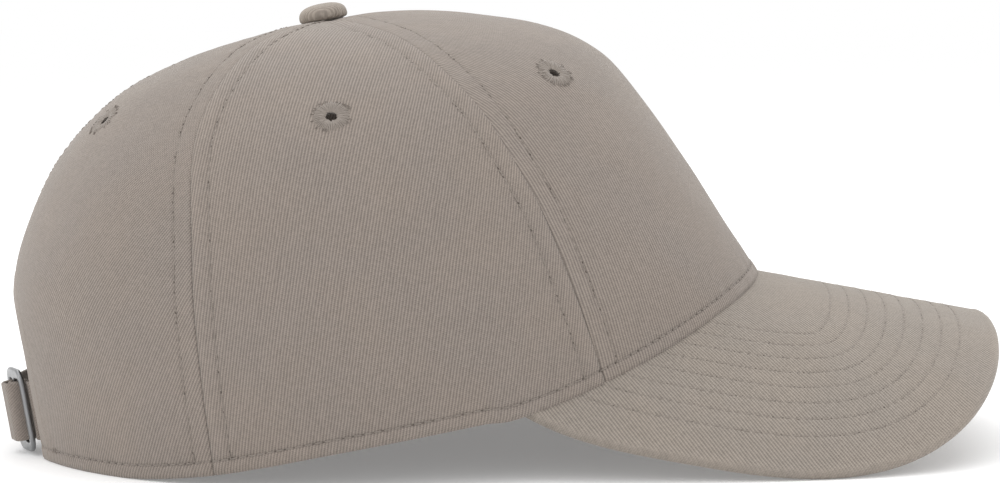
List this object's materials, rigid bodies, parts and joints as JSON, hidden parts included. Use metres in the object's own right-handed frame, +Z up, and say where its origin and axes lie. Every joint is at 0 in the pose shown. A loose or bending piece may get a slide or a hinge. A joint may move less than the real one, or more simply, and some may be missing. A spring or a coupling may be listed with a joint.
{
  "type": "five panel cap",
  "caption": "Soft cotton twill cap with a structured front, curved stitched peak, sewn eyelets, covered button and a back strap with a slide buckle.",
  "frame": {"origin": "centre of the bounding box on the surface the cap rests on", "axes": "+X towards the wearer's left, +Y towards the back of the head, +Z up; the peak points to -Y"},
  "size_m": [0.1624, 0.2688, 0.1209],
  "materials": {
    "twill": "brushed cotton twill, warm grey",
    "thread": "satin-stitched cotton thread, warm grey",
    "metal": "satin nickel"
  },
  "bodies": {
    "root": {"front_panel": "twill", "side_panel_left": "twill", "side_panel_right": "twill", "back_panel_left": "twill", "back_panel_right": "twill", "peak": "twill", "eyelet_front_left": "thread", "eyelet_front_right": "thread", "eyelet_side_left": "thread", "eyelet_side_right": "thread", "eyelet_back_left": "thread", "eyelet_back_right": "thread", "button": "twill", "strap": "twill", "tab": "twill", "buckle": "metal"}
  },
  "joints": []
}
